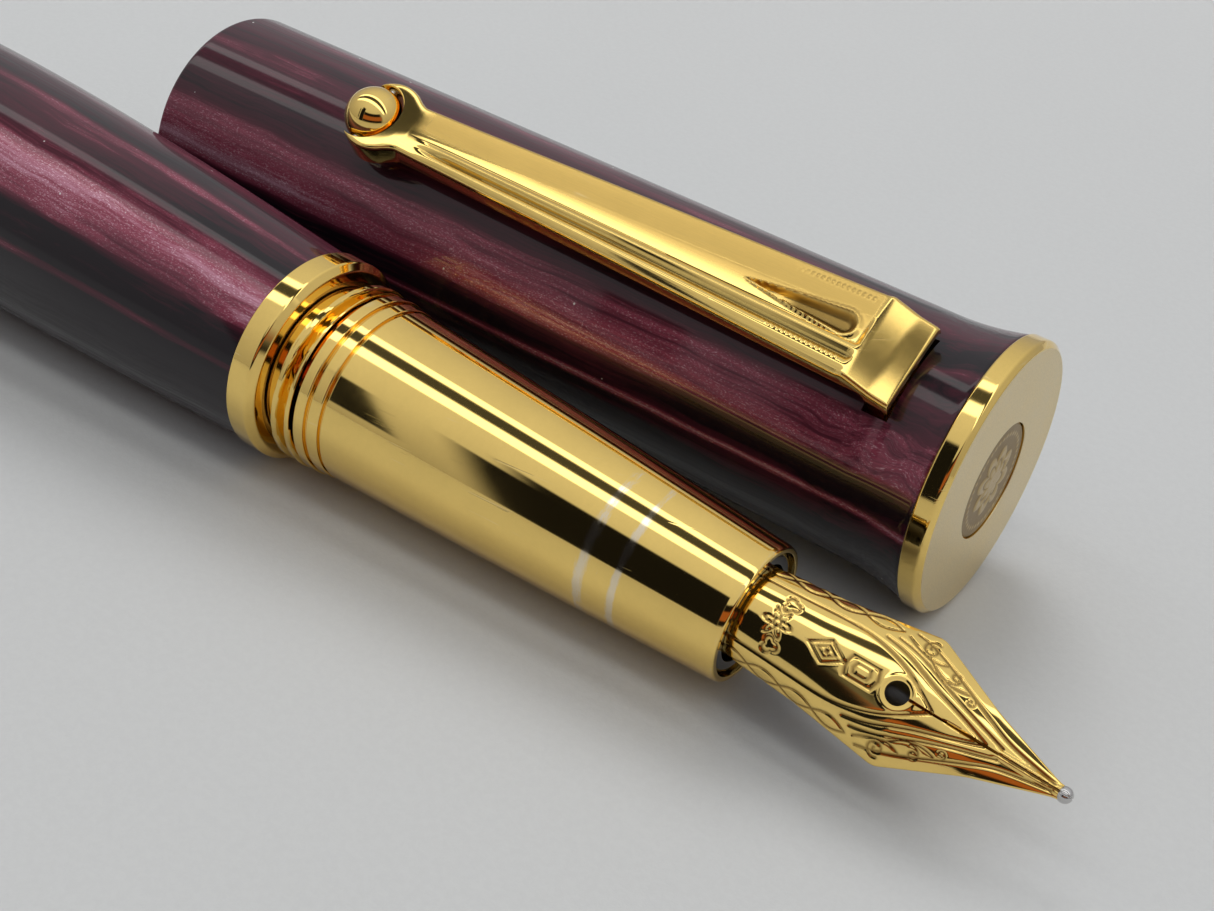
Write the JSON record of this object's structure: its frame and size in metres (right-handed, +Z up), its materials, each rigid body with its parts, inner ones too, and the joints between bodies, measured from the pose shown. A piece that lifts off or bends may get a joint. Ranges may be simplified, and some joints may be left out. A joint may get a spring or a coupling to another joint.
{
  "type": "fountain pen",
  "caption": "Uncapped fountain pen in marbled resin with a gold grip and engraved nib, and its cap with a ball clip beside it.",
  "frame": {"origin": "centre of the bounding box at the surface that the pen lies on", "axes": "+X along the cap and the pen towards the nib, +Y from the pen to the cap, +Z up"},
  "size_m": [0.1322, 0.0361, 0.0212],
  "materials": {
    "marbled_resin": "polished pearl resin",
    "polished_gold": "polished gold plate",
    "satin_gold": "satin gold plate",
    "worn_gold": "polished gold plate, rubbed thin",
    "nib_gold": "engraved polished gold plate",
    "tipping_metal": "polished hard alloy",
    "brass": "turned",
    "black_plastic": "gloss",
    "ebonite": "satin",
    "clear_plastic": "clear",
    "rubber": "matte",
    "steel": "turned"
  },
  "bodies": {
    "section": {"section_core": "black_plastic", "grip_sleeve": "worn_gold"},
    "nib_unit": {"nib": "nib_gold", "nib_tipping": "tipping_metal", "feed": "ebonite"},
    "converter": {"converter_tube": "clear_plastic", "converter_band": "steel"},
    "piston_screw": {"converter_knob": "black_plastic", "converter_nut": "brass"},
    "piston": {"piston_rod": "steel", "piston_seal": "rubber"},
    "barrel_stop": {"barrel_seal": "rubber"},
    "barrel_thread": {"barrel_bush": "brass", "barrel_ring": "polished_gold"},
    "barrel": {"barrel": "marbled_resin", "tail_disc": "satin_gold"},
    "cap": {"cap_tube": "marbled_resin", "cap_insert": "brass", "inner_cap": "black_plastic", "clip_anchor": "brass", "crown_disc": "satin_gold", "crown_medallion": "polished_gold", "crown_screw": "steel"},
    "clip": {"clip": "polished_gold", "clip_ball_pin": "steel"},
    "clip_ball": {"clip_ball": "polished_gold"}
  },
  "joints": [
    {"name": "nib_pull", "type": "slide", "parent": "section", "child": "nib_unit", "axis": [0.999, 0, -0.0436], "range_m": [0, 0.016]},
    {"name": "converter_pull", "type": "slide", "parent": "section", "child": "converter", "axis": [-0.999, 0, 0.0436], "range_m": [0, 0.009]},
    {"name": "knob_turn", "type": "hinge", "parent": "converter", "child": "piston_screw", "pos_m": [-0.03379, -0.00955, 0.00923], "axis": [-0.999, 0, 0.0436], "range_deg": [0, 1440]},
    {"name": "piston_travel", "type": "slide", "parent": "converter", "child": "piston", "axis": [-0.999, 0, 0.0436], "range_m": [0, 0.02]},
    {"name": "barrel_pull", "type": "slide", "parent": "section", "child": "barrel_stop", "axis": [-0.999, 0, 0.0436], "range_m": [0, 0.075]},
    {"name": "thread_travel", "type": "slide", "parent": "barrel_stop", "child": "barrel_thread", "axis": [-0.999, 0, 0.0436], "range_m": [0, 0.0032]},
    {"name": "barrel_turn", "type": "hinge", "parent": "barrel_thread", "child": "barrel", "pos_m": [-0.0238, -0.00955, 0.00879], "axis": [-0.999, 0, 0.0436], "range_deg": [0, 1440]},
    {"name": "cap_slide", "type": "slide", "parent": "section", "child": "cap", "axis": [1, 0, 0], "range_m": [0, 0.09]},
    {"name": "clip_flex", "type": "hinge", "parent": "cap", "child": "clip", "pos_m": [0.04522, 0.00385, 0.0171], "axis": [0, 0.8526, 0.5225], "range_deg": [0, 4], "stiffness_Nm_per_rad": 1.5},
    {"name": "ball_roll", "type": "hinge", "parent": "clip", "child": "clip_ball", "pos_m": [0.00342, 0.00272, 0.01894], "axis": [0, -0.8526, -0.5225], "continuous": true}
  ],
  "couplings": [
    {"joint": "knob_turn", "follows": "piston_travel", "rad_per_m": 1256.6},
    {"joint": "barrel_turn", "follows": "thread_travel", "rad_per_m": 7853.9}
  ]
}
